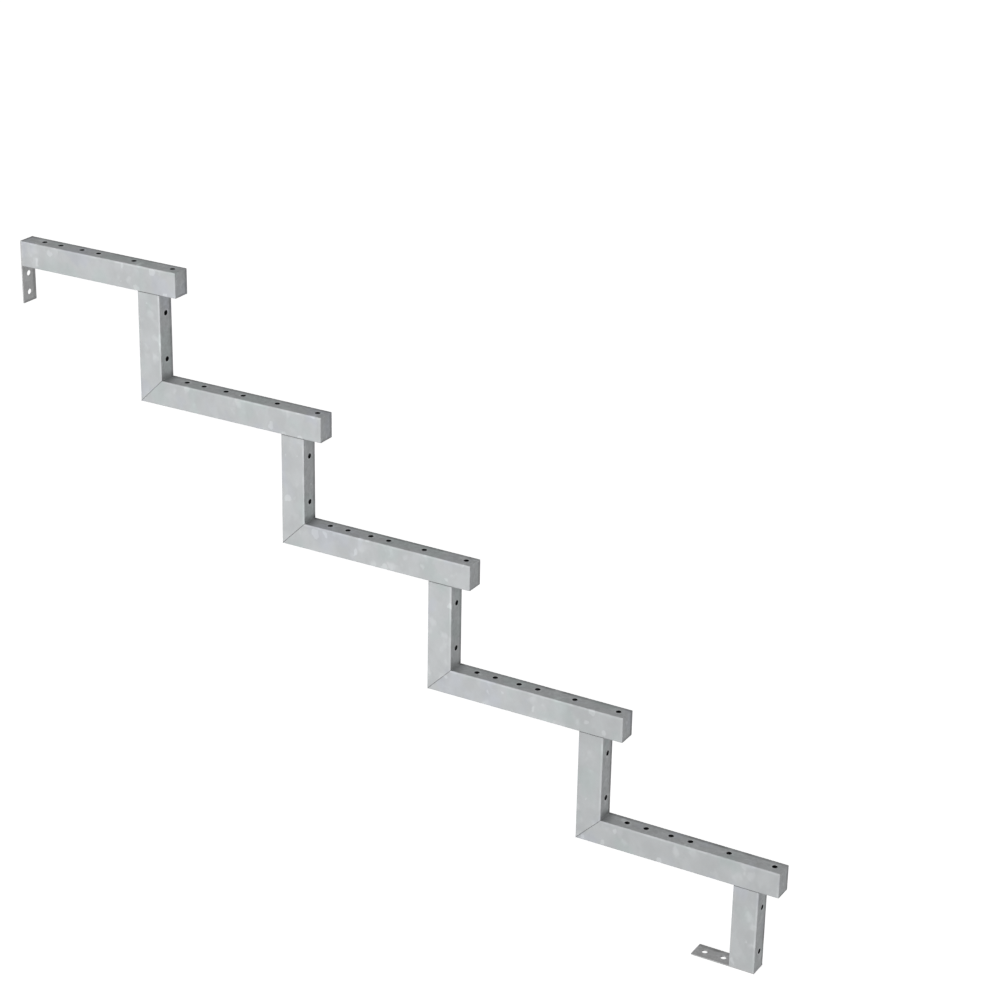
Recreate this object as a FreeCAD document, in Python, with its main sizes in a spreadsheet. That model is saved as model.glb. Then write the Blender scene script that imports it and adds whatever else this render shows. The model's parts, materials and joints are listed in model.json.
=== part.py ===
import FreeCAD, Part
import math
import os
import Sketcher
from FreeCAD import Placement, Rotation, Vector

# Stair stringer: a zigzag of level tread tubes and upright riser tubes, cut from one rectangular
# hollow section and welded. It hangs on a wall plate at the top and stands on a foot plate.
# Frame: +Z up, +X from the wall down the stair, Y across the tubes. The origin lies on the ground,
# midway between the two holes of the foot plate.

DRIVING_SIZES = (
    ("step_count", 5),
    ("step_rise", 175),
    ("step_run", 255),
    ("wall_run", 260),
    ("nosing", 30),
    ("tube_depth", 40),
    ("tube_width", 30),
    ("tube_wall", 2),
    ("outer_corner", 1.2),
    ("edge_break", 0.5),
    ("cap_thickness", 2),
    ("plate_thickness", 2),
    ("plate_reach", 60),
    ("plate_hole_margin", 15),
    ("plate_hole_diameter", 9),
    ("tube_hole_diameter", 8),
    ("nose_hole", 15),
    ("behind_riser_hole", 16),
    ("rear_hole", 36),
    ("pair_pitch", 31),
    ("pair_gap", 40),
    ("riser_hole_margin", 31),
)

doc = FreeCAD.newDocument("stair_stringer")
sheet = doc.addObject("Spreadsheet::Sheet", "sizes")
for row, (alias, number) in enumerate(DRIVING_SIZES, 1):
    sheet.set(f"A{row}", alias)
    sheet.set(f"B{row}", str(number))
    sheet.setAlias(f"B{row}", alias)
doc.recompute()

# Sizes that follow from the driving ones
WELD_BEVEL = "(0.8 * sizes.outer_corner)"
FREE_RISE = "(sizes.step_rise - sizes.tube_depth)"
STEP_SEAT = "(sizes.step_run + sizes.nosing)"
WALL_SEAT = "(sizes.wall_run + sizes.nosing)"
WEDGE_LEG = "(sizes.tube_depth + 2 * sizes.tube_wall)"
LAST_RISER_BACK = "(sizes.plate_reach / 2)"
LAST_NOSE = f"({LAST_RISER_BACK} + sizes.tube_depth + sizes.nosing)"

DOWN_STAIR = Vector(1, 0, 0)
UP = Vector(0, 0, 1)
BACK_AND_UP = Vector(-1, 0, 1)
FRONT_AND_DOWN = Vector(1, 0, -1)
SAME_DIRECTION = 0.001


def size(expression):
    """Number that an expression on the driving sizes gives."""
    return float(sheet.evalExpression(expression))


def new_body(label, x, z):
    """Body for one piece, placed on the middle plane of the stringer."""
    body = doc.addObject("PartDesign::Body", label)
    body.Label = label
    body.setExpression("Placement.Base.x", x)
    body.setExpression("Placement.Base.z", z)
    return body


def new_sketch(body, name, plane_role):
    sketch = body.newObject("Sketcher::SketchObject", name)
    plane = next(item for item in body.Origin.OriginFeatures if item.Role == plane_role)
    sketch.AttachmentSupport = [(plane, "")]
    sketch.MapMode = "FlatFace"
    return sketch


def bind(sketch, name, expression, kind, *places):
    """Adds a dimension and ties it to the driving sizes."""
    index = sketch.addConstraint(Sketcher.Constraint(kind, *places, size(expression)))
    sketch.renameConstraint(index, name)
    sketch.setExpression(f"Constraints.{name}", expression)


def draw_outline(sketch, across, upright):
    """Rectangle with round corners, centred on the sketch's origin."""
    corner = "sizes.outer_corner"
    radius = size(corner)
    centre_x = size(across) / 2 - radius
    centre_y = size(upright) / 2 - radius
    arcs = []
    for quarter, (side_x, side_y) in enumerate(((1, -1), (1, 1), (-1, 1), (-1, -1))):
        circle = Part.Circle(Vector(side_x * centre_x, side_y * centre_y, 0), UP, radius)
        start = (quarter - 1) * math.pi / 2
        arcs.append(sketch.addGeometry(Part.ArcOfCircle(circle, start, start + math.pi / 2)))
    next_arcs = arcs[1:] + arcs[:1]
    sides = []
    for arc, next_arc in zip(arcs, next_arcs):
        line = Part.LineSegment(sketch.getPoint(arc, 2), sketch.getPoint(next_arc, 1))
        sides.append(sketch.addGeometry(line))
    for arc, side, next_arc in zip(arcs, sides, next_arcs):
        sketch.addConstraint(Sketcher.Constraint("Tangent", arc, 2, side, 1))
        sketch.addConstraint(Sketcher.Constraint("Tangent", side, 2, next_arc, 1))
    right, top, left, bottom = sides
    for side in (left, right):
        sketch.addConstraint(Sketcher.Constraint("Vertical", side))
    for side in (top, bottom):
        sketch.addConstraint(Sketcher.Constraint("Horizontal", side))
    for arc in arcs[1:]:
        sketch.addConstraint(Sketcher.Constraint("Equal", arcs[0], arc))
    sketch.addConstraint(Sketcher.Constraint("Symmetric", arcs[0], 3, arcs[2], 3, -1, 1))
    bind(sketch, "outer_across", across, "DistanceX", left, 1, right, 1)
    bind(sketch, "outer_upright", upright, "DistanceY", bottom, 1, top, 1)
    bind(sketch, "outer_corner", corner, "Radius", arcs[0])


def draw_loop(sketch, corners):
    """Closed run of straight lines through the corners."""
    sides = []
    for corner, next_corner in zip(corners, corners[1:] + corners[:1]):
        sides.append(sketch.addGeometry(Part.LineSegment(corner, next_corner)))
    for side, next_side in zip(sides, sides[1:] + sides[:1]):
        sketch.addConstraint(Sketcher.Constraint("Coincident", side, 2, next_side, 1))
    return sides


def draw_hollow(sketch, across, upright):
    """Square-cornered rectangle inside the outline, one wall's thickness in from it."""
    clear_across = f"{across} - 2 * sizes.tube_wall"
    clear_upright = f"{upright} - 2 * sizes.tube_wall"
    half_x = size(clear_across) / 2
    half_y = size(clear_upright) / 2
    corners = [
        Vector(half_x, -half_y, 0),
        Vector(half_x, half_y, 0),
        Vector(-half_x, half_y, 0),
        Vector(-half_x, -half_y, 0),
    ]
    right, top, left, bottom = draw_loop(sketch, corners)
    for side in (left, right):
        sketch.addConstraint(Sketcher.Constraint("Vertical", side))
    for side in (top, bottom):
        sketch.addConstraint(Sketcher.Constraint("Horizontal", side))
    sketch.addConstraint(Sketcher.Constraint("Symmetric", right, 1, left, 1, -1, 1))
    bind(sketch, "clear_across", clear_across, "DistanceX", left, 1, right, 1)
    bind(sketch, "clear_upright", clear_upright, "DistanceY", right, 1, right, 2)


def draw_tube_section(sketch, across, upright):
    draw_outline(sketch, across, upright)
    draw_hollow(sketch, across, upright)


def draw_holes(sketch, line, diameter, distances):
    """Circles on the sketch's X or Y axis, at distances on its negative side."""
    axis = {"X": -1, "Y": -2}[line]
    circles = []
    for number, distance in enumerate(distances, 1):
        along = -size(distance)
        centre = Vector(along, 0, 0) if line == "X" else Vector(0, along, 0)
        circle = sketch.addGeometry(Part.Circle(centre, UP, size(diameter) / 2))
        sketch.addConstraint(Sketcher.Constraint("PointOnObject", circle, 3, axis))
        bind(sketch, f"hole_{number}", distance, f"Distance{line}", circle, 3, -1, 1)
        circles.append(circle)
    for circle in circles[1:]:
        sketch.addConstraint(Sketcher.Constraint("Equal", circles[0], circle))
    bind(sketch, "diameter", diameter, "Diameter", circles[0])


def draw_plate_outline(sketch):
    """Rectangle that covers a tube's end in front of the origin and reaches out behind it."""
    back = -size("sizes.plate_reach")
    front = size("sizes.tube_depth")
    half_width = size("sizes.tube_width") / 2
    corners = [
        Vector(front, -half_width, 0),
        Vector(front, half_width, 0),
        Vector(back, half_width, 0),
        Vector(back, -half_width, 0),
    ]
    front_end, far_side, back_end, near_side = draw_loop(sketch, corners)
    sketch.addConstraint(Sketcher.Constraint("Symmetric", front_end, 1, front_end, 2, -1))
    sketch.addConstraint(Sketcher.Constraint("Vertical", back_end))
    for side in (near_side, far_side):
        sketch.addConstraint(Sketcher.Constraint("Horizontal", side))
    bind(sketch, "width", "sizes.tube_width", "DistanceY", front_end, 1, front_end, 2)
    bind(sketch, "covered", "sizes.tube_depth", "DistanceX", -1, 1, front_end, 1)
    bind(sketch, "reach", "sizes.plate_reach", "DistanceX", back_end, 1, -1, 1)


def pad(body, sketch, length, backwards=False):
    feature = body.newObject("PartDesign::Pad", f"{body.Name}_pad")
    feature.Profile = sketch
    feature.Reversed = backwards
    feature.setExpression("Length", length)
    return feature


def cut_out(body, sketch, both_ways):
    """Cut that runs out of the body along its sketch's normal, or along both ways from the sketch."""
    feature = body.newObject("PartDesign::Pocket", f"{body.Name}_cut")
    feature.Profile = sketch
    feature.Type = "ThroughAll"
    feature.Midplane = both_ways
    feature.Reversed = not both_ways
    return feature


def cut_mitre(body, side, out, below):
    """Saw cut at 45 degrees: a wedge whose square corner lies a wall's thickness off the tube.

    With side 1 that corner is in front of the origin and below it, with side -1 behind and above.
    """
    sketch = new_sketch(body, f"{body.Name}_wedge", "XZ_Plane")
    corner = Vector(side * size(out), -side * size(below), 0)
    level_end = corner - Vector(side * size(WEDGE_LEG), 0, 0)
    plumb_end = corner + Vector(0, side * size(WEDGE_LEG), 0)
    level = sketch.addGeometry(Part.LineSegment(corner, level_end))
    slope = sketch.addGeometry(Part.LineSegment(level_end, plumb_end))
    plumb = sketch.addGeometry(Part.LineSegment(plumb_end, corner))
    for first, second in ((level, slope), (slope, plumb), (plumb, level)):
        sketch.addConstraint(Sketcher.Constraint("Coincident", first, 2, second, 1))
    sketch.addConstraint(Sketcher.Constraint("Horizontal", level))
    sketch.addConstraint(Sketcher.Constraint("Vertical", plumb))
    sketch.addConstraint(Sketcher.Constraint("Equal", level, plumb))
    from_origin = (-1, 1, level, 1)
    to_origin = (level, 1, -1, 1)
    bind(sketch, "leg", WEDGE_LEG, "Distance", level)
    bind(sketch, "out", out, "DistanceX", *(from_origin if side > 0 else to_origin))
    bind(sketch, "below", below, "DistanceY", *(to_origin if side > 0 else from_origin))
    return cut_out(body, sketch, both_ways=True)


def break_edges(body, feature, direction, amount):
    """Takes the sharp outer edge off the flat end that faces a direction."""
    doc.recompute()
    shape = feature.Shape
    facing = direction / direction.Length
    flats = [face for face in shape.Faces if face.Surface.TypeId == "Part::GeomPlane"]
    ends = [face for face in flats if (face.normalAt(0, 0) - facing).Length < SAME_DIRECTION]
    end = max(ends, key=lambda face: face.CenterOfMass.dot(facing))
    rim = end.OuterWire.Edges
    names = []
    for number, edge in enumerate(shape.Edges, 1):
        if any(edge.isSame(rim_edge) for rim_edge in rim):
            names.append(f"Edge{number}")
    chamfer = body.newObject("PartDesign::Chamfer", f"{body.Name}_edge_break")
    chamfer.Base = (feature, names)
    chamfer.setExpression("Size", amount)
    return chamfer


def build_tread_tube(label, x, top, at_wall):
    """Level tube under a step, drilled on top. Its origin is at the nose, on the section's middle."""
    seat = WALL_SEAT if at_wall else STEP_SEAT
    body = new_body(label, x, f"{top} - sizes.tube_depth / 2")
    section = new_sketch(body, f"{label}_section", "YZ_Plane")
    section.setExpression("AttachmentOffset.Base.z", "-sizes.cap_thickness")
    draw_tube_section(section, "sizes.tube_width", "sizes.tube_depth")
    if at_wall:
        pad(body, section, f"{seat} - sizes.cap_thickness - sizes.plate_thickness", backwards=True)
    else:
        pad(body, section, f"{seat} - sizes.cap_thickness + sizes.tube_depth", backwards=True)
        out = f"{seat} + sizes.tube_depth + sizes.tube_wall"
        mitre = cut_mitre(body, -1, out, "sizes.tube_depth / 2 + sizes.tube_wall")
        break_edges(body, mitre, BACK_AND_UP, "sizes.edge_break")
    last_pair = f"{seat} - sizes.rear_hole"
    middle_pair = f"{last_pair} - sizes.pair_pitch - sizes.pair_gap"
    marks = new_sketch(body, f"{label}_hole_marks", "XY_Plane")
    draw_holes(marks, "X", "sizes.tube_hole_diameter", (
        "sizes.nose_hole",
        "sizes.nosing + sizes.tube_depth + sizes.behind_riser_hole",
        f"{middle_pair} - sizes.pair_pitch",
        middle_pair,
        f"{last_pair} - sizes.pair_pitch",
        last_pair,
    ))
    cut_out(body, marks, both_ways=False)
    return body


def build_riser_tube(label, x, top, on_ground):
    """Upright tube, drilled in front. Its origin is on its square top end, on the section's middle."""
    body = new_body(label, x, top)
    section = new_sketch(body, f"{label}_section", "XY_Plane")
    draw_tube_section(section, "sizes.tube_depth", "sizes.tube_width")
    if on_ground:
        tube = pad(body, section, f"{FREE_RISE} - sizes.plate_thickness", backwards=True)
    else:
        pad(body, section, "sizes.step_rise", backwards=True)
        out = "sizes.tube_depth / 2 + sizes.tube_wall"
        mitre = cut_mitre(body, 1, out, "sizes.step_rise + sizes.tube_wall")
        tube = break_edges(body, mitre, FRONT_AND_DOWN, "sizes.edge_break")
    break_edges(body, tube, UP, WELD_BEVEL)
    marks = new_sketch(body, f"{label}_hole_marks", "YZ_Plane")
    lower_hole = f"{FREE_RISE} - sizes.riser_hole_margin"
    draw_holes(marks, "Y", "sizes.tube_hole_diameter", ("sizes.riser_hole_margin", lower_hole))
    cut_out(body, marks, both_ways=False)
    return body


def build_nose_cap(label, x, top):
    """Flat plate on the front end of a tread tube, with the tube's own outline."""
    body = new_body(label, x, f"{top} - sizes.tube_depth / 2")
    outline = new_sketch(body, f"{label}_outline", "YZ_Plane")
    draw_outline(outline, "sizes.tube_width", "sizes.tube_depth")
    plate = pad(body, outline, "sizes.cap_thickness", backwards=True)
    break_edges(body, plate, DOWN_STAIR, "sizes.edge_break")
    return body


def build_fixing_plate(label, x, z, rotation):
    """Plate on a tube's end with two holes in its free length. Its outer face is at its origin."""
    body = new_body(label, x, z)
    body.Placement = Placement(body.Placement.Base, rotation)
    outline = new_sketch(body, f"{label}_outline", "XY_Plane")
    draw_plate_outline(outline)
    pad(body, outline, "sizes.plate_thickness")
    marks = new_sketch(body, f"{label}_hole_marks", "XY_Plane")
    far_hole = "sizes.plate_reach - sizes.plate_hole_margin"
    draw_holes(marks, "X", "sizes.plate_hole_diameter", ("sizes.plate_hole_margin", far_hole))
    cut_out(body, marks, both_ways=False)
    return body


# The steps, from the wall down to the ground
pieces = []
step_count = round(size("sizes.step_count"))
for number in range(1, step_count + 1):
    steps_below = step_count - number
    nose = f"{LAST_NOSE} - {steps_below} * sizes.step_run"
    top = f"{steps_below + 1} * sizes.step_rise"
    riser_middle = f"{nose} - sizes.nosing - sizes.tube_depth / 2"
    pieces.append(build_tread_tube(f"tread_tube_{number}", nose, top, at_wall=number == 1))
    pieces.append(build_nose_cap(f"nose_cap_{number}", nose, top))
    riser_top = f"{top} - sizes.tube_depth"
    on_ground = number == step_count
    pieces.append(build_riser_tube(f"riser_tube_{number}", riser_middle, riser_top, on_ground))

# Two like plates: one lies under the last riser, one stands upright behind the first tread tube
lying = Rotation()
upright = Rotation(Vector(1, 0, 1), 180)
wall_face = f"{LAST_NOSE} - {step_count - 1} * sizes.step_run - {WALL_SEAT}"
first_tube_underside = f"{step_count} * sizes.step_rise - sizes.tube_depth"
pieces.append(build_fixing_plate("foot_plate", LAST_RISER_BACK, "0", lying))
pieces.append(build_fixing_plate("wall_plate", wall_face, first_tube_underside, upright))

doc.recompute()
for item in doc.Objects:
    if "Invalid" in item.State or "Error" in item.State:
        raise RuntimeError(f"{item.Label} failed: {item.State}")
    if item.TypeId == "PartDesign::Pocket" and item.Shape.Volume >= item.BaseFeature.Shape.Volume:
        raise RuntimeError(f"{item.Label} cuts nothing")
for piece in pieces:
    if piece.Shape.isNull() or not piece.Shape.isValid() or len(piece.Shape.Solids) != 1:
        raise RuntimeError(f"{piece.Label} is not one valid solid")

os.makedirs("parts", exist_ok=True)
for piece in pieces:
    piece.Shape.exportStep(f"parts/{piece.Label}.step")
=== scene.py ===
import json
import math

import bpy
from mathutils import Matrix, Vector


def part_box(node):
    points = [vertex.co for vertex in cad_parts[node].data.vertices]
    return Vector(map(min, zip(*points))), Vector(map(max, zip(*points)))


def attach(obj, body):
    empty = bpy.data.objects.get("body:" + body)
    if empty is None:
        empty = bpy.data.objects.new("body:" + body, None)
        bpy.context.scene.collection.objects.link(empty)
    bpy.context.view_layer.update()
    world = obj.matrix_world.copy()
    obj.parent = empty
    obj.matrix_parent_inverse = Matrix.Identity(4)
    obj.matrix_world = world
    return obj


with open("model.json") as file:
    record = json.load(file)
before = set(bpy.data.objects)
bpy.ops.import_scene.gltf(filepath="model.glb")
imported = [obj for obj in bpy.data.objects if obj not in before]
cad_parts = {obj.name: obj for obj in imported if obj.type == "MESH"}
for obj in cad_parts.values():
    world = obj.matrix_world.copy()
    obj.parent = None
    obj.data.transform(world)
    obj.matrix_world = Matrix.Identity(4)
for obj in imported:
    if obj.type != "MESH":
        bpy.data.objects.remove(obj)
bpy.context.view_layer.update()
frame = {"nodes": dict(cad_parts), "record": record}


# Tread tubes: five level lengths of 40 x 30 mm steel tube, 2 mm in the wall and drilled on top for the
# boards. The welded frame is dipped in molten zinc, which clouds and blooms as it sets. The sides of the
# lower steps are a little darker, as painted shade.

class Wire:
    """One socket in a node tree. A sum on it adds the Math node that works it out."""

    def __init__(self, tree, socket=None):
        self.tree = tree
        self.socket = socket

    def node(self, kind, settings, sockets, output=0):
        """Adds a node: its settings first, then its sockets' values or links, and gives one output."""
        made = self.tree.nodes.new(kind)
        for name, value in settings.items():
            if name == "stops":
                first, *inner, last = value
                for stop, (place, colour) in zip(made.color_ramp.elements, (first, last)):
                    stop.position = place
                    stop.color = (*colour, 1.0)
                for place, colour in inner:
                    made.color_ramp.elements.new(place).color = (*colour, 1.0)
            else:
                setattr(made, name, value)
        for name, value in sockets.items():
            if isinstance(value, Wire):
                self.tree.links.new(value.socket, made.inputs[name])
            else:
                made.inputs[name].default_value = value
        return Wire(self.tree, made.outputs[output] if made.outputs else None)

    def math(self, operation, first, second=0.0):
        return self.node("ShaderNodeMath", {"operation": operation}, {0: first, 1: second})

    def __add__(self, other):
        return self.math("ADD", self, other)

    def __sub__(self, other):
        return self.math("SUBTRACT", self, other)

    def __rsub__(self, other):
        return self.math("SUBTRACT", other, self)

    def __mul__(self, other):
        return self.math("MULTIPLY", self, other)

    __radd__ = __add__
    __rmul__ = __mul__

    def __abs__(self):
        return self.math("ABSOLUTE", self)

    def beside(self, output):
        """Another output of the node that this one comes from."""
        return Wire(self.tree, self.socket.node.outputs[output])

    def between(self, low, high):
        """0 below low, 1 above high, and an easy slope from one to the other."""
        return self.node(
            "ShaderNodeMapRange",
            {"interpolation_type": "SMOOTHSTEP"},
            {"Value": self, "From Min": low, "From Max": high},
        )

    def spread(self, least, most):
        """The least where this is 0, and the most where it is 1."""
        return least + (most - least) * self


def bare_nodes(owner):
    """Clears what a new finish or world starts with, and gives a wire to add its nodes by."""
    owner.use_nodes = True
    owner.node_tree.nodes.clear()
    return Wire(owner.node_tree)


def noise(at, grade, output="Fac"):
    """A soft noise. Its grade is its scale per metre and its detail."""
    scale, detail = grade
    return at.node("ShaderNodeTexNoise", {}, {"Vector": at, "Scale": scale, "Detail": detail}, output)


def cells(at, scale, output, feature="F1", **sockets):
    """Cells of one scale: how far each place is from its cell's middle, or the cell's own colour."""
    return at.node(
        "ShaderNodeTexVoronoi", {"feature": feature}, {"Vector": at, "Scale": scale, **sockets}, output)


def chance_of(colour):
    """One number from a cell's own colour, which differs from cell to cell."""
    return colour.node("ShaderNodeSeparateColor", {}, {"Color": colour}, "Red")


def pushed(at, sway, amount):
    """Each place moved about by the sway, so that no cloud, bloom or spot is quite round."""
    sockets = {0: sway, 1: (amount,) * 3, 2: at}
    return at.node("ShaderNodeVectorMath", {"operation": "MULTIPLY_ADD"}, sockets)


def near(distance, reach):
    """1 up to the first distance of a reach, 0 past the second."""
    return 1.0 - distance.between(*reach)


SWAY_NOISE = (75.0, 3.0)
CLOUD_SWAY = 0.022
CLOUD_NOISE = (34.0, 2.0)
CLOUD_RANGE = (0.32, 0.68)
BLOOM_CELLS = 52.0
BLOOM_SOFTNESS = 0.35
BLOOM_REACH = (0.18, 0.46)
SCATTER_NOISE = (30.0, 2.0)
SCATTER_RANGE = (0.44, 0.62)
SPOT_SWAY = 0.016
SPOT_CELLS = 42.0
SPOT_SIZE = 0.26
SPOT_EDGE = (-0.02, 0.03)
SPOT_CHANCE = (0.35, 0.45)
SPANGLE_CELLS = 170.0
MOTTLE_NOISE = (240.0, 2.0)
GRAIN_NOISE = (1400.0, 2.0)
DRIFT_NOISE = (20.0, 1.0)
PATCH_NOISE = (55.0, 3.0)
PATCH_RANGE = (0.42, 0.78)


def setting_marks(at):
    """What the zinc shows as it sets, from slow clouds to fine grain, and its drift of tint and patches."""
    sway = noise(at, SWAY_NOISE, "Color")
    swayed = pushed(at, sway, CLOUD_SWAY)
    heart = cells(swayed, BLOOM_CELLS, "Distance", "SMOOTH_F1", Smoothness=BLOOM_SOFTNESS)
    drop = cells(pushed(at, sway, SPOT_SWAY), SPOT_CELLS, "Distance")
    chance = chance_of(drop.beside("Color"))
    return {
        "cloud": noise(swayed, CLOUD_NOISE).between(*CLOUD_RANGE),
        "bloom": near(heart, BLOOM_REACH) * noise(at, SCATTER_NOISE).between(*SCATTER_RANGE),
        "spot": near(drop - SPOT_SIZE * chance, SPOT_EDGE) * chance.between(*SPOT_CHANCE),
        "facet": chance_of(cells(swayed, SPANGLE_CELLS, "Color")),
        "mottle": noise(at, MOTTLE_NOISE),
        "grain": noise(at, GRAIN_NOISE),
        "drift": noise(swayed, DRIFT_NOISE),
        "patch": noise(at, PATCH_NOISE).between(*PATCH_RANGE),
    }


HALF_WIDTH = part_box("tread_tube_1")[1].y
SIDE_REACH = (0.0001, 0.0008)
# Painted shade: from here the sides turn darker towards the ground.
LOWER_SIDE_SHADE_FROM = (-0.256, -0.238)      # along the frame, on the fourth tread
# Painted highlight: a pale band on the sides along an arris.
ARRIS_HIGHLIGHT_REACH = (0.0022, 0.0038)
# Painted shade: a dark band on the faces along the far edge, and at some ends.
FAR_EDGE_SHADE_REACH = (0.0042, 0.0082)
END_SHADE_REACH = (0.0020, 0.0045)
# Painted shade in the inner corners, where a tread meets the riser above it.
CORNER_SHADE_ALONG = 0.021
CORNER_SHADE_UP = 0.015
CORNER_SHADE_NARROWING = 25.0               # per metre of width
RIM_INNER = (0.0040, 0.0046)
RIM_OUTER = (0.0058, 0.0075)


def corner_shade(along, x, z):
    """Painted shade in an inner corner: further along the tread than up the riser, less at the far side."""
    right = (along["X"] - x) * (1.0 / CORNER_SHADE_ALONG)
    up = (along["Z"] - z) * (1.0 / CORNER_SHADE_UP)
    spread = (right * right + up * up) * (1.0 + CORNER_SHADE_NARROWING * (along["Y"] + HALF_WIDTH))
    return near(spread.math("SQRT", spread), (0.0, 1.0))


def rim(place, middle):
    """Zinc gathered in a ring round the mouth of a hole."""
    away = place.node("ShaderNodeVectorMath", {"operation": "DISTANCE"}, {0: place, 1: middle}, "Value")
    return near(away, RIM_OUTER) - near(away, RIM_INNER)


def strongest(masks):
    """The highest of several masks at each place, and 0 if there are none."""
    most = 0.0
    for mask in masks:
        most = mask.math("MAXIMUM", most, mask)
    return most


def blended(base, shares, marks):
    """A base with a share of each mark added to it."""
    return sum((share * marks[mark] for mark, share in shares.items()), base)


def toned(colour, level):
    """A colour made paler or darker by a level."""
    return colour.node("ShaderNodeVectorMath", {"operation": "SCALE"}, {0: colour, "Scale": level})


def bumped(height, relief):
    """The height as a bump. Its relief is a strength and a depth."""
    strength, depth = relief
    return height.node("ShaderNodeBump", {}, {"Strength": strength, "Distance": depth, "Height": height})


def shaded(wire, sockets):
    """Ends a finish with its shader and the output."""
    shade = wire.node("ShaderNodeBsdfPrincipled", {}, sockets)
    wire.node("ShaderNodeOutputMaterial", {}, {"Surface": shade})


PATTERN_STRETCH = (1.0, 1.0, 0.8)
PATCHY = {"painted_arris_highlight": (0.35, 1.25), "painted_edge_shade": (0.5, 1.1), "rim": (0.4, 1.6)}
TINT_STOPS = (0.36, 0.47, 0.57, 0.66)
TONE = 0.90
TONE_SHARES = {"cloud": 0.10, "bloom": 0.13, "spot": 0.15, "facet": 0.03, "grain": 0.02}
FACE_SHARES = {"facet": 0.12, "mottle": 0.26}
# Painted highlight on the arrises, painted shade at the far edge, the ends, the inner corners and the lower
# sides, and the paler zinc rims round the holes.
RIM_AND_PAINTED_LIGHT_SHARES = {"painted_arris_highlight": 1.0, "rim": 0.12, "painted_edge_shade": -0.48, "painted_corner_shade": -0.36, "darker": -0.075}
ROUGH = 0.62
ROUGH_SHARES = {"cloud": 0.05, "bloom": -0.06, "spot": -0.05, "facet": 0.04, "painted_arris_highlight": -0.4, "painted_corner_shade": 0.1}
RELIEF_SHARES = {"cloud": 0.4, "bloom": 0.3, "spot": 0.2, "facet": 0.05, "grain": 0.05}
ZINC_RELIEF = (0.12, 0.0004)
ZINC_METAL = 0.2
ZINC_SHINE = 0.3


def zinc_finish(name, tints, start, arrises=(), ends=(), corners=(), holes=()):
    """Dipped zinc: an even grey with slow clouds, pale blooms and spots, and a drift of tint.

    The tints run from greenish to bluish, and start moves the pattern along. An arris is an axis, the
    place on it of an edge of the sides, and the strength of the painted highlight along that edge. The far
    edge of the faces gets painted shade, and so does each end, which is an axis and a place. A corner is
    the x and z of an inner corner, which gets painted shade. A hole is the middle of its mouth and the way
    it faces: its rim is paler. The sides of the lower steps get painted shade too.
    """
    finish = bpy.data.materials.new(name)
    wire = bare_nodes(finish)
    place = wire.node("ShaderNodeTexCoord", {}, {}, "Object")
    along = {axis: wire.node("ShaderNodeSeparateXYZ", {}, {"Vector": place}, axis) for axis in "XYZ"}
    side = near(HALF_WIDTH - abs(along["Y"]), SIDE_REACH)
    face = 1.0 - side
    marks = setting_marks(wire.node(
        "ShaderNodeMapping", {}, {"Vector": place, "Location": start, "Scale": PATTERN_STRETCH}))
    # Painted shade: the sides darker towards the lower steps.
    marks["darker"] = side * along["X"].between(*LOWER_SIDE_SHADE_FROM)
    # Painted highlight along the arrises of the sides.
    marks["painted_arris_highlight"] = side * strongest(
        [strength * near(abs(along[axis] - edge), ARRIS_HIGHLIGHT_REACH) for axis, edge, strength in arrises])
    # Painted shade along the far edge and at the ends of the faces.
    marks["painted_edge_shade"] = face * strongest(
        [near(HALF_WIDTH - along["Y"], FAR_EDGE_SHADE_REACH)]
        + [near(abs(along[axis] - end), END_SHADE_REACH) for axis, end in ends])
    # Painted shade in the inner corners.
    marks["painted_corner_shade"] = face * strongest([corner_shade(along, x, z) for x, z in corners])
    marks["rim"] = strongest([rim(place, middle) for middle, _ in holes])
    for mark, (least, most) in PATCHY.items():
        marks[mark] = marks[mark] * marks["patch"].spread(least, most)
    greenish, plain, bluish = tints
    stops = list(zip(TINT_STOPS, (greenish, plain, plain, bluish)))
    tint = wire.node("ShaderNodeValToRGB", {"stops": stops}, {"Fac": marks["drift"]}, "Color")
    # These marks average a half, so taking half of each share off keeps the mean tone.
    mottled = blended(-0.5 * sum(FACE_SHARES.values()), FACE_SHARES, marks)
    tone = (blended(TONE, TONE_SHARES, marks) + face * mottled) * blended(1.0, RIM_AND_PAINTED_LIGHT_SHARES, marks)
    shaded(wire, {
        "Base Color": toned(tint, tone),
        "Roughness": blended(ROUGH, ROUGH_SHARES, marks),
        "Normal": bumped(blended(0.0, RELIEF_SHARES, marks), ZINC_RELIEF),
        "Metallic": ZINC_METAL,
        "Specular IOR Level": ZINC_SHINE,
    })
    return finish


def dress(name, finish):
    """Gives a CAD piece its finish."""
    for slot in frame["nodes"][name].material_slots:
        slot.material = finish


MILLIMETRE = 0.001
HOLE_ROWS = {"tread": ("spacing_x_mm", (1.0, 0.0, 0.0)), "riser": ("spacing_y_mm", (0.0, 0.0, 1.0))}


def holes_in(tube, number):
    """Each hole in a tube: the middle of its mouth and the way it faces. The record has them in pairs."""
    spacing, row = HOLE_ROWS[tube]
    holes = []
    for pair in frame["record"]["mounts"]:
        if pair["name"].startswith(f"{tube}_{number}_"):
            half = Vector(row) * (0.5 * MILLIMETRE * pair["dims"][spacing])
            holes += [(Vector(pair["pos_m"]) + way * half, pair["axis"]) for way in (1, -1)]
    return holes


STEPS = range(1, 6)         # from the wall down to the ground
TUBE_ZINC = ((0.515, 0.552, 0.552), (0.536, 0.552, 0.560), (0.530, 0.548, 0.577))
TREAD_START = 0.31
# Strengths of the painted highlight along the top and nose arrises.
TREAD_ARRIS_HIGHLIGHT = 0.16
NOSE_ARRIS_HIGHLIGHT = 0.06

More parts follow.
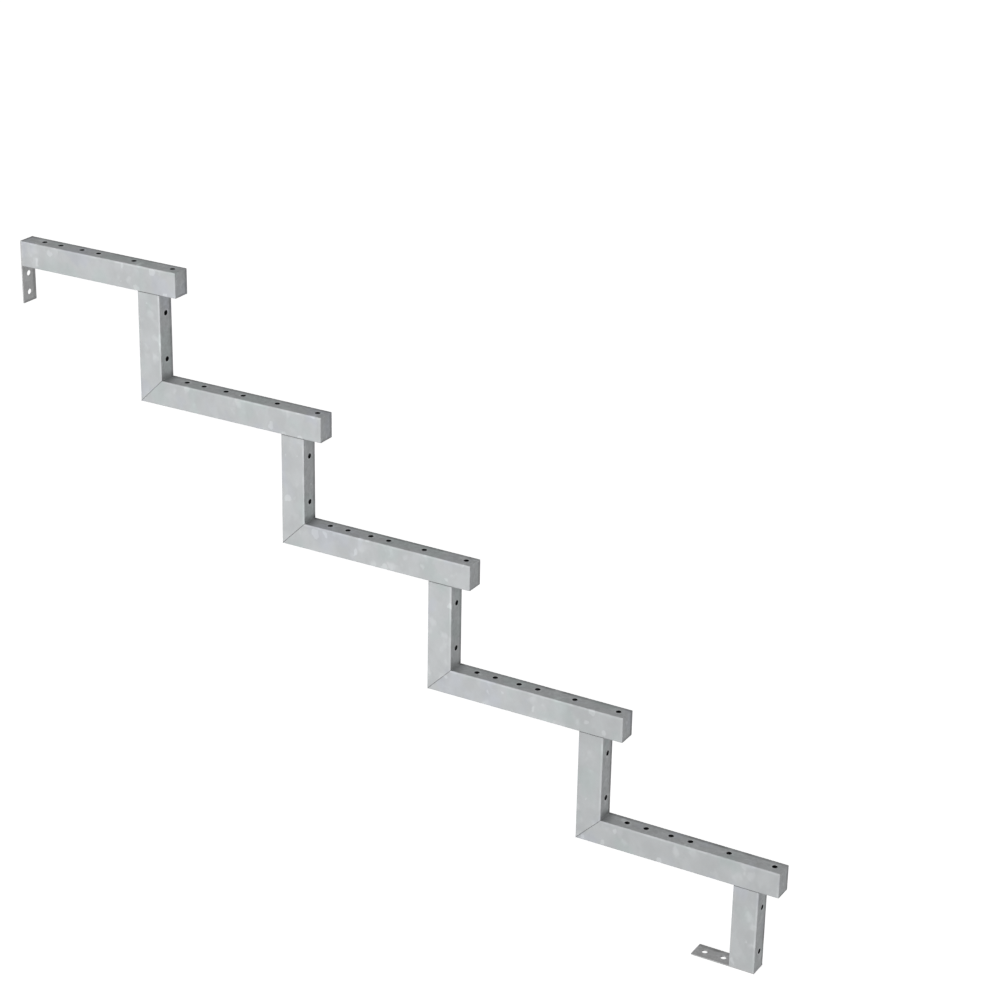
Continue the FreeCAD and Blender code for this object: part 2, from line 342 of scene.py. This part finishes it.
for number in STEPS:
    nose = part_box(f"nose_cap_{number}")[1].x
    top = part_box(f"tread_tube_{number}")[1].z
    finish = zinc_finish(
        f"zinc_tread_{number}", TUBE_ZINC, (TREAD_START * number, 0.0, 0.0),
        arrises=[("Z", top, TREAD_ARRIS_HIGHLIGHT), ("X", nose, NOSE_ARRIS_HIGHLIGHT)],
        # Painted shade at the top tread's end against the wall plate.
        ends=[("X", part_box("wall_plate")[1].x)] if number == STEPS[0] else [],
        # Painted shade in the inner corner under the riser above.
        corners=[(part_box(f"riser_tube_{number - 1}")[1].x, top)] if number > STEPS[0] else [],
        holes=holes_in("tread", number))
    dress(f"tread_tube_{number}", finish)


# Riser tubes: five upright lengths of the same tube, square at the top under each tread, mitred at the
# bottom into the next one and drilled in front. They come out of the same zinc bath.

RISER_START = 0.43
# Strength of the painted highlight along the riser's front arris.
RISER_ARRIS_HIGHLIGHT = 0.22

for number in STEPS:
    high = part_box(f"riser_tube_{number}")[1]
    finish = zinc_finish(
        f"zinc_riser_{number}", TUBE_ZINC, (0.0, 0.0, RISER_START * number),
        arrises=[("X", high.x, RISER_ARRIS_HIGHLIGHT)],
        # Painted shade in the inner corner over the next tread.
        corners=[(high.x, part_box(f"tread_tube_{number + 1}")[1].z)] if number < STEPS[-1] else [],
        holes=holes_in("riser", number))
    dress(f"riser_tube_{number}", finish)


# Nose caps: five small steel plates that close the front ends of the treads, welded all round and dressed
# flush, with their front edges broken. The zinc covers plate and tube alike.

for number in STEPS:
    low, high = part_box(f"nose_cap_{number}")
    finish = zinc_finish(
        f"zinc_cap_{number}", TUBE_ZINC, (TREAD_START * number, 0.0, 0.0),
        arrises=[("Z", high.z, TREAD_ARRIS_HIGHLIGHT), ("X", high.x, NOSE_ARRIS_HIGHLIGHT)],
        # Painted shade along the cap's bottom edge.
        ends=[("Z", low.z)])
    dress(f"nose_cap_{number}", finish)


# Wall plate and foot plate: 2 mm steel strip as wide as the tube, each with two bolt holes. One hangs down
# from the top tread's back end, flat on the wall, and the other lies on the ground under the last riser.

PLATE_ZINC = ((0.527, 0.534, 0.533), (0.534, 0.535, 0.536), (0.532, 0.534, 0.540))
WALL_START = (0.0, 0.3, 0.2)
FOOT_START = (0.5, 0.3, 0.2)

# Painted shade at the plate's top and bottom ends.
wall_ends = [("Z", corner.z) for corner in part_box("wall_plate")]
dress("wall_plate", zinc_finish("zinc_wall_plate", PLATE_ZINC, WALL_START, ends=wall_ends))
dress("foot_plate", zinc_finish("zinc_foot_plate", PLATE_ZINC, FOOT_START))


# Weld beads: a fine run of filler metal round each joint, laid in the groove between the two edges. At the
# sides it is dressed and the zinc takes it dark, so each joint reads as a thin line. Elsewhere it is grey.

BEAD_GREY = (0.34, 0.35, 0.35)
BEAD_DARK = (0.070, 0.072, 0.072)
DRESSED_REACH = (0.0010, 0.0016)
BEAD_NOISE = (320.0, 2.0)
BEAD_TONE = (0.8, 1.2)
BEAD_ROUGH = (0.45, 0.60)
BEAD_RELIEF = (0.15, 0.0002)
BEAD_METAL = 0.3


def two_colours(share, first, second):
    """The first colour where the share is 0, the second where it is 1."""
    # A Mix node's sockets for numbers, vectors and colours share their names, so these go by number.
    colours = {6: (*first, 1.0), 7: (*second, 1.0)}
    return share.node("ShaderNodeMix", {"data_type": "RGBA"}, {0: share, **colours}, 2)


def bead_finish():
    """Filler metal under its zinc, uneven from ripple to ripple: dark at the sides, grey elsewhere."""
    finish = bpy.data.materials.new("weld_grey")
    wire = bare_nodes(finish)
    at = wire.node("ShaderNodeTexCoord", {}, {}, "Object")
    across = wire.node("ShaderNodeSeparateXYZ", {}, {"Vector": at}, "Y")
    dressed = near(HALF_WIDTH - abs(across), DRESSED_REACH)
    patch = noise(at, BEAD_NOISE)
    shaded(wire, {
        "Base Color": toned(two_colours(dressed, BEAD_GREY, BEAD_DARK), patch.spread(*BEAD_TONE)),
        "Roughness": patch.spread(*BEAD_ROUGH),
        "Normal": bumped(patch, BEAD_RELIEF),
        "Metallic": BEAD_METAL,
    })
    return finish


CORNER = 0.0012             # radius of the tube's outer corners
BEND_SUNK = 0.0010          # below the side, where a bead turns such a corner
BUTT_SUNK = 0.0008
BUTT_DROP = 0.0001
BUTT_BEND = 0.0009
BUTT_FLAT_INSET = 0.0004
BUTT_FLAT_DROP = 0.0003


def butt_loop(tread, riser):
    """Round the square end of a riser under its tread: sunk at the sides, in the corner front and back."""
    low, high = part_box(riser)
    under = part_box(tread)[0].z
    flat, bend, side = (high.y - sunk for sunk in (CORNER, BEND_SUNK, BUTT_SUNK))
    points = []
    for end, x, far_x in ((1, high.x, low.x), (-1, low.x, high.x)):
        for across in (-flat, 0.0, flat):
            place = (x - end * BUTT_FLAT_INSET, end * across, under - BUTT_FLAT_DROP)
            points.append((place, (end, 0.0, -1.0)))
        points += [
            ((x - end * BUTT_BEND, end * bend, under - BUTT_DROP / 2), (end, end, 0.0)),
            ((x - end * CORNER, end * side, under - BUTT_DROP), (0.0, end, 0.0)),
            ((far_x + end * CORNER, end * side, under - BUTT_DROP), (0.0, end, 0.0)),
            ((far_x + end * BUTT_BEND, end * bend, under - BUTT_DROP / 2), (-end, end, 0.0)),
        ]
    return points


MITRE_SUNK = 0.00055
HEEL_INSETS = (0.0004, 0.0007, CORNER)      # on the flat, at the bend and at the side
TOE_INSETS = (0.0001, 0.0006, CORNER)


def mitre_loop(riser, tread):
    """Round the slanted joint at the foot of a riser, in the groove that the two broken edges leave."""
    back, front = (corner.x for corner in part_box(riser))
    under, top = (corner.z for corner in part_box(tread))
    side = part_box(tread)[1].y
    flat_bend_side = ((CORNER, 1, 0), (BEND_SUNK, 1, 1), (MITRE_SUNK, 0, 1))
    points = []
    for way in (-1, 1):
        run = []
        for end, x, z, insets in ((-1, back, under, HEEL_INSETS), (1, front, top, TOE_INSETS)):
            turn = []
            for inset, (sunk, lean, out) in zip(insets, flat_bend_side):
                place = (x - end * inset, way * (side - sunk), z - end * inset)
                turn.append((place, (end * lean, way * out, end * lean)))
            run += turn if end < 0 else reversed(turn)
        points += run if way < 0 else reversed(run)
    return points


def plate_run(x, z, outward):
    """Straight across a plate, in the corner between it and the tube."""
    flat = HALF_WIDTH - CORNER
    return [((x, y, z), outward) for y in (-flat, 0.0, flat)]


wall_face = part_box("wall_plate")[1].x
foot_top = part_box("foot_plate")[1].z
seams = [(butt_loop(f"tread_tube_{number}", f"riser_tube_{number}"), True) for number in STEPS]
seams += [(mitre_loop(f"riser_tube_{number}", f"tread_tube_{number + 1}"), True) for number in STEPS[:-1]]
seams.append((plate_run(wall_face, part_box("tread_tube_1")[0].z, (1.0, 0.0, -1.0)), False))
seams.append((plate_run(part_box("riser_tube_5")[0].x, foot_top, (-1.0, 0.0, 1.0)), False))


def carrier(name, paths):
    """A mesh of points and edges with each point's outward direction, for a node tree to work along."""
    places, edges, outward = [], [], []
    for points, closed in paths:
        first = len(places)
        places += [place for place, _ in points]
        outward += [Vector(way).normalized() for _, way in points]
        last = len(places) - 1
        edges += [(i, i + 1) for i in range(first, last)]
        if closed:
            edges.append((last, first))
    mesh = bpy.data.meshes.new(name)
    mesh.from_pydata(places, edges, [])
    attribute = mesh.attributes.new("outward", "FLOAT_VECTOR", "POINT")
    attribute.data.foreach_set("vector", [part for way in outward for part in way])
    obj = bpy.data.objects.new(name, mesh)
    bpy.context.scene.collection.objects.link(obj)
    return obj


class Tree(Wire):
    """A Geometry Nodes tree with named inputs, put on a carrier and then made a plain mesh."""

    def __init__(self, name, inputs):
        super().__init__(bpy.data.node_groups.new(name, "GeometryNodeTree"))
        sockets = [("Geometry", "NodeSocketGeometry")] + [(label, kind) for label, kind, _ in inputs]
        for label, kind in sockets:
            self.tree.interface.new_socket(label, in_out="INPUT", socket_type=kind)
        self.tree.interface.new_socket("Geometry", in_out="OUTPUT", socket_type="NodeSocketGeometry")
        self.values = {label: value for label, _, value in inputs}
        self.carried = self.node("NodeGroupInput", {}, {}, "Geometry")

    def given(self, label):
        return self.carried.beside(label)

    def facing(self, along=None):
        """Turns a piece to stand on its point's outward direction, and lengthways where a path is given."""
        outward = self.node(
            "GeometryNodeInputNamedAttribute", {"data_type": "FLOAT_VECTOR"}, {"Name": "outward"})
        turn = self.node("FunctionNodeAlignRotationToVector", {"axis": "Z"}, {"Vector": outward})
        if along is None:
            return turn
        return self.node("FunctionNodeAlignRotationToVector", {"axis": "X", "pivot_axis": "Z"},
                         {"Rotation": turn, "Vector": along})

    def close(self, instances, material):
        real = self.node("GeometryNodeRealizeInstances", {}, {"Geometry": instances})
        soft = self.node("GeometryNodeSetShadeSmooth", {}, {0: real, "Shade Smooth": True})
        done = self.node("GeometryNodeSetMaterial", {}, {"Geometry": soft, "Material": material})
        self.node("NodeGroupOutput", {}, {"Geometry": done})

    def bake(self, obj):
        """Runs the tree on a carrier and leaves the finished mesh in its place."""
        modifier = obj.modifiers.new("tree", "NODES")
        modifier.node_group = self.tree
        for item in self.tree.interface.items_tree:
            if item.in_out == "INPUT" and item.name in self.values:
                modifier[item.identifier] = self.values[item.name]
        depsgraph = bpy.context.evaluated_depsgraph_get()
        mesh = bpy.data.meshes.new_from_object(obj.evaluated_get(depsgraph), depsgraph=depsgraph)
        obj.modifiers.remove(modifier)
        obj.data = mesh
        return obj


BEAD_PITCH = 0.0011
BEAD_WIDTH = 0.0012
BEAD_DEPTH = 0.0009
RIPPLE_OVERLAP = 1.9        # a ripple's length in pitches
RIPPLE_SEGMENTS = 8
RIPPLE_RINGS = 5
LEAST_RIPPLE = 0.92
GREATEST_RIPPLE = 1.06
RIPPLE_SEED = 7

tree = Tree("ripples_along_a_joint", [
    ("Pitch", "NodeSocketFloat", BEAD_PITCH),
    ("Width", "NodeSocketFloat", BEAD_WIDTH),
    ("Depth", "NodeSocketFloat", BEAD_DEPTH),
    ("Least size", "NodeSocketFloat", LEAST_RIPPLE),
    ("Greatest size", "NodeSocketFloat", GREATEST_RIPPLE),
    ("Seed", "NodeSocketInt", RIPPLE_SEED),
    ("Metal", "NodeSocketMaterial", bead_finish()),
])
pitch = tree.given("Pitch")
path = tree.node("GeometryNodeMeshToCurve", {}, {"Mesh": tree.given("Geometry")})
path = tree.node("GeometryNodeResampleCurve", {"mode": "LENGTH"}, {"Curve": path, "Length": pitch})
# A ball one unit across, which is then drawn out to a ripple's size.
ball = tree.node("GeometryNodeMeshUVSphere", {}, {
    "Segments": RIPPLE_SEGMENTS, "Rings": RIPPLE_RINGS, "Radius": 0.5})
ripple_size = tree.node("ShaderNodeCombineXYZ", {}, {
    "X": RIPPLE_OVERLAP * pitch, "Y": tree.given("Width"), "Z": tree.given("Depth")})
ripple = tree.node("GeometryNodeTransform", {}, {"Geometry": ball, "Scale": ripple_size})
# Sockets 2 and 3 and output 1 are the ones for decimal numbers.
uneven = tree.node("FunctionNodeRandomValue", {"data_type": "FLOAT"}, {
    2: tree.given("Least size"), 3: tree.given("Greatest size"), "Seed": tree.given("Seed")}, 1)
tangent = tree.node("GeometryNodeInputTangent", {}, {})
ripples = tree.node("GeometryNodeInstanceOnPoints", {}, {
    "Points": path, "Instance": ripple, "Rotation": tree.facing(tangent), "Scale": uneven})
tree.close(ripples, tree.given("Metal"))
beads = tree.bake(carrier("weld_beads", seams))
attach(beads, "root")


# Hole bores: forty 8 mm holes for the screws of the boards and risers, drilled through the outer wall only.
# The zinc gathers pale round each mouth. The cut wall inside it is near black as painted shade, unevenly
# stained and dull.

# Painted shade: the bore wall is near black, a little paler where stained.
BORE_SHADE_BLACK = (0.007, 0.007, 0.008)
BORE_STAINED_SHADE = (0.0126, 0.0126, 0.0144)
STAIN_NOISE = (700.0, 2.0)
STAIN_RANGE = (0.35, 0.7)
BORE_ROUGH = (0.6, 0.8)
BORE_RELIEF = (0.2, 0.0001)
BORE_SHINE = 0.2


def shaded_bore_finish():
    """Drilled steel in near black as painted shade, unevenly stained, with a dull sheen."""
    finish = bpy.data.materials.new("painted_shade_bore")
    wire = bare_nodes(finish)
    stain = noise(wire.node("ShaderNodeTexCoord", {}, {}, "Object"), STAIN_NOISE)
    shaded(wire, {
        "Base Color": two_colours(stain.between(*STAIN_RANGE), BORE_SHADE_BLACK, BORE_STAINED_SHADE),
        "Roughness": stain.spread(*BORE_ROUGH),
        "Normal": bumped(stain, BORE_RELIEF),
        "Specular IOR Level": BORE_SHINE,
    })
    return finish


mouths = []
for number in STEPS:
    for tube in ("tread", "riser"):
        mouths += [([hole], False) for hole in holes_in(tube, number)]

TUBE_HOLE = 0.008
TUBE_WALL = 0.002
BORE_SKIN = 0.00012
BORE_SIDES = 40
LIP_SIDES = 2

tree = Tree("bores_in_the_tubes", [
    ("Hole", "NodeSocketFloat", TUBE_HOLE),
    ("Wall", "NodeSocketFloat", TUBE_WALL),
    ("Skin", "NodeSocketFloat", BORE_SKIN),
    ("Steel", "NodeSocketMaterial", shaded_bore_finish()),
])
wall = tree.given("Wall")
skin = tree.given("Skin")
points = tree.node("GeometryNodeMeshToPoints", {}, {"Mesh": tree.given("Geometry")})
mouth = tree.node("GeometryNodeCurvePrimitiveCircle", {}, {
    "Resolution": BORE_SIDES, "Radius": 0.5 * tree.given("Hole") - skin})
section = tree.node("GeometryNodeCurvePrimitiveQuadrilateral", {}, {"Width": 2.0 * skin, "Height": wall})
section = tree.node("GeometryNodeFilletCurve", {"mode": "POLY"}, {
    "Curve": section, "Count": LIP_SIDES, "Radius": skin})
bore = tree.node("GeometryNodeCurveToMesh", {}, {"Curve": mouth, "Profile Curve": section})
sunk = tree.node("ShaderNodeCombineXYZ", {}, {"Z": -0.5 * wall})
bore = tree.node("GeometryNodeTransform", {}, {"Geometry": bore, "Translation": sunk})
bores = tree.node("GeometryNodeInstanceOnPoints", {}, {
    "Points": points, "Instance": bore, "Rotation": tree.facing()})
tree.close(bores, tree.given("Steel"))
linings = tree.bake(carrier("hole_bores", mouths))
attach(linings, "root")


# Floor: a plain white studio floor that the foot plate stands on. It shows white to the camera and in
# reflections, and keeps the soft shadow of the frame.

FLOOR_REACH = 30.0
FLOOR_DROP = 0.0002
FLOOR_WHITE = (0.8, 0.8, 0.8, 1.0)
FLOOR_GLOW = 0.8
WHITE = (1.0, 1.0, 1.0, 1.0)


def seen(wire):
    """1 for what the camera sees straight, in gloss or through glass, and 0 for the light that bounces."""
    straight = wire.node("ShaderNodeLightPath", {}, {}, "Is Camera Ray")
    rays = straight + straight.beside("Is Glossy Ray") + straight.beside("Is Transmission Ray")
    return wire.math("MINIMUM", rays, 1.0)


floor_finish = bpy.data.materials.new("white_floor")
wire = bare_nodes(floor_finish)
plain = wire.node("ShaderNodeBsdfDiffuse", {}, {"Color": FLOOR_WHITE})
glow = wire.node("ShaderNodeEmission", {}, {"Color": WHITE, "Strength": FLOOR_GLOW})
bright = wire.node("ShaderNodeAddShader", {}, {0: plain, 1: glow})
surface = wire.node("ShaderNodeMixShader", {}, {0: seen(wire), 1: plain, 2: bright})
wire.node("ShaderNodeOutputMaterial", {}, {"Surface": surface})
floor_corners = [(x * FLOOR_REACH, y * FLOOR_REACH, -FLOOR_DROP)
                 for x, y in ((-1, -1), (1, -1), (1, 1), (-1, 1))]
floor_mesh = bpy.data.meshes.new("studio_floor")
floor_mesh.from_pydata(floor_corners, [], [(0, 1, 2, 3)])
floor_mesh.materials.append(floor_finish)
floor = bpy.data.objects.new("studio_floor", floor_mesh)
bpy.context.scene.collection.objects.link(floor)


# Light: two large soft boxes stand low on the two sides of the frame, the near one the stronger, and a weak
# fill comes from all round, less of it from overhead. So the sides are bright, and the tops and fronts half
# as bright.

FILL_LOW = 0.41
FILL_OVERHEAD = 0.185
BACKDROP = 1.0
BOX_AIM = Vector((-0.55, 0.0, 0.45))
BOX_WIDTH = 5.0
BOX_HEIGHT = 1.6
SOFT_BOXES = (
    ("near_soft_box", Vector((-0.45, -8.0, 0.95)), 386.0),
    ("far_soft_box", Vector((-0.45, 8.0, 0.95)), 170.0),
)

studio = bpy.data.worlds.new("studio")
wire = bare_nodes(studio)
low, overhead, white = (
    wire.node("ShaderNodeBackground", {}, {"Color": WHITE, "Strength": strength})
    for strength in (FILL_LOW, FILL_OVERHEAD, BACKDROP))
way = wire.node("ShaderNodeTexCoord", {}, {}, "Generated")
height = wire.node("ShaderNodeSeparateXYZ", {}, {"Vector": way}, "Z")
fill = wire.node("ShaderNodeMixShader", {}, {0: wire.math("MAXIMUM", height, 0.0), 1: low, 2: overhead})
backdrop = wire.node("ShaderNodeMixShader", {}, {0: seen(wire), 1: fill, 2: white})
wire.node("ShaderNodeOutputWorld", {}, {"Surface": backdrop})
bpy.context.scene.world = studio

for name, stand, power in SOFT_BOXES:
    lamp = bpy.data.lights.new(name, "AREA")
    lamp.shape = "RECTANGLE"
    lamp.size = BOX_WIDTH
    lamp.size_y = BOX_HEIGHT
    lamp.energy = power
    soft_box = bpy.data.objects.new(name, lamp)
    soft_box.location = stand
    soft_box.rotation_euler = (BOX_AIM - stand).to_track_quat("-Z", "Y").to_euler()
    bpy.context.scene.collection.objects.link(soft_box)


# Camera: a long lens on the near side of the frame, above it and in front, and rolled by about a degree.
# Its place, angles and lens are fitted to the straight edges that the photograph shows.

CAMERA_PLACE = (1.33215, -3.02511, 2.10216)
CAMERA_TURN = math.radians(29.3837)
CAMERA_TILT = math.radians(90.0 - 22.9492)
CAMERA_ROLL = math.radians(1.191)
CAMERA_LENS = 95.685
CAMERA_SENSOR = 36.0
CAMERA_SIGHT = 200.0

camera_data = bpy.data.cameras.new("camera")
camera_data.lens = CAMERA_LENS
camera_data.sensor_width = CAMERA_SENSOR
camera_data.clip_end = CAMERA_SIGHT
camera = bpy.data.objects.new("camera", camera_data)
camera.matrix_world = (
    Matrix.Translation(CAMERA_PLACE)
    @ Matrix.Rotation(CAMERA_TURN, 4, "Z")
    @ Matrix.Rotation(CAMERA_TILT, 4, "X")
    @ Matrix.Rotation(CAMERA_ROLL, 4, "Z")
)
bpy.context.scene.collection.objects.link(camera)
bpy.context.scene.camera = camera
bpy.context.scene.view_settings.view_transform = "Standard"
